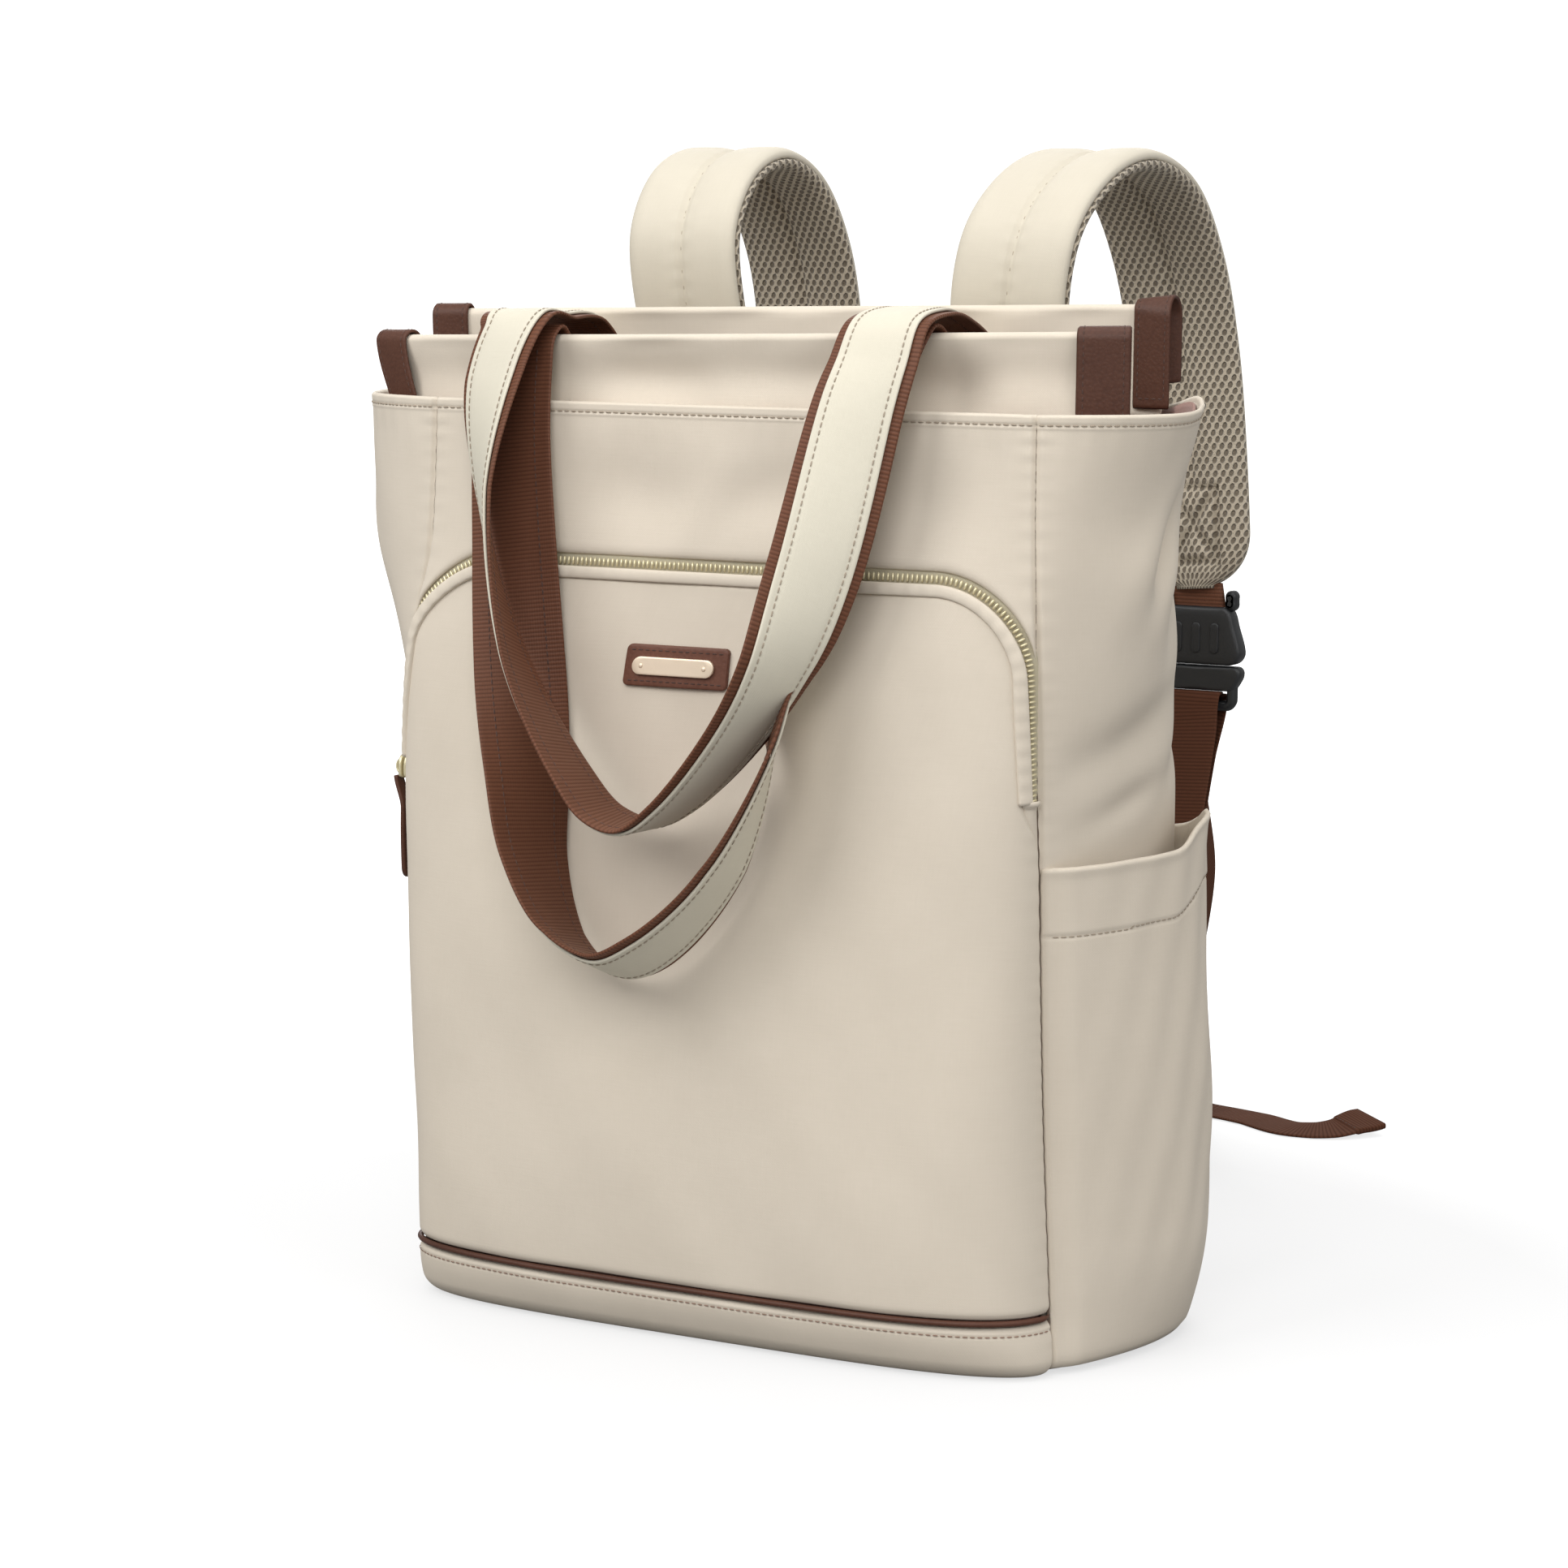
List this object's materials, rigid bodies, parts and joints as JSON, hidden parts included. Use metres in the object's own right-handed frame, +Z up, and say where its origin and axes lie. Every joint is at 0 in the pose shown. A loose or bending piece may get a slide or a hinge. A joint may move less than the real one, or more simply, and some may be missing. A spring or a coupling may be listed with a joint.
{
  "type": "laptop backpack",
  "caption": "Canvas laptop bag carried as a tote or a backpack, with a zipped front pocket, side pockets, webbing handles and padded shoulder straps.",
  "frame": {"origin": "middle of the base, on the floor the bag stands on", "axes": "+Z up, -Y towards the front pocket, +X towards the right side seen from the front"},
  "size_m": [0.379, 0.5981, 0.4971],
  "materials": {
    "canvas": "smooth woven canvas, pale beige",
    "leather": "grained brown leather",
    "brown_webbing": "ribbed brown webbing with a soft sheen",
    "lining": "plain reddish brown lining",
    "mesh": "open air mesh, grey beige",
    "zip": "pale gold teeth",
    "plate": "polished rose gold, bare",
    "plastic": "moulded black plastic"
  },
  "bodies": {
    "root": {"base_band": "canvas", "base_piping": "leather", "front_pocket_panel": "canvas", "front_yoke": "canvas", "front_zip": "zip", "pocket_welt": "canvas", "zip_end_tab": "canvas", "zip_slider": "zip", "zip_pull": "leather", "left_side_panel": "canvas", "right_side_panel": "canvas", "left_side_pocket": "canvas", "right_side_pocket": "canvas", "back_panel": "canvas", "bottom_panel": "canvas", "lining": "lining", "front_top_panel": "canvas", "rear_top_panel": "canvas", "front_left_tab": "leather", "front_right_tab": "leather", "rear_left_tab": "leather", "rear_right_tab": "leather", "label_patch": "leather", "label_plate": "plate", "front_handle_webbing": "brown_webbing", "front_handle_facing": "canvas", "rear_handle_webbing": "brown_webbing", "rear_handle_facing": "canvas", "right_strap_cover": "canvas", "right_strap_mesh": "mesh", "right_strap_loop": "brown_webbing", "right_buckle_socket": "plastic", "right_buckle_prong": "plastic", "right_lower_webbing": "brown_webbing", "right_webbing_tail": "brown_webbing", "left_strap_cover": "canvas", "left_strap_mesh": "mesh", "left_strap_loop": "brown_webbing", "left_buckle_socket": "plastic", "left_buckle_prong": "plastic", "left_lower_webbing": "brown_webbing", "left_webbing_tail": "brown_webbing"}
  },
  "joints": []
}
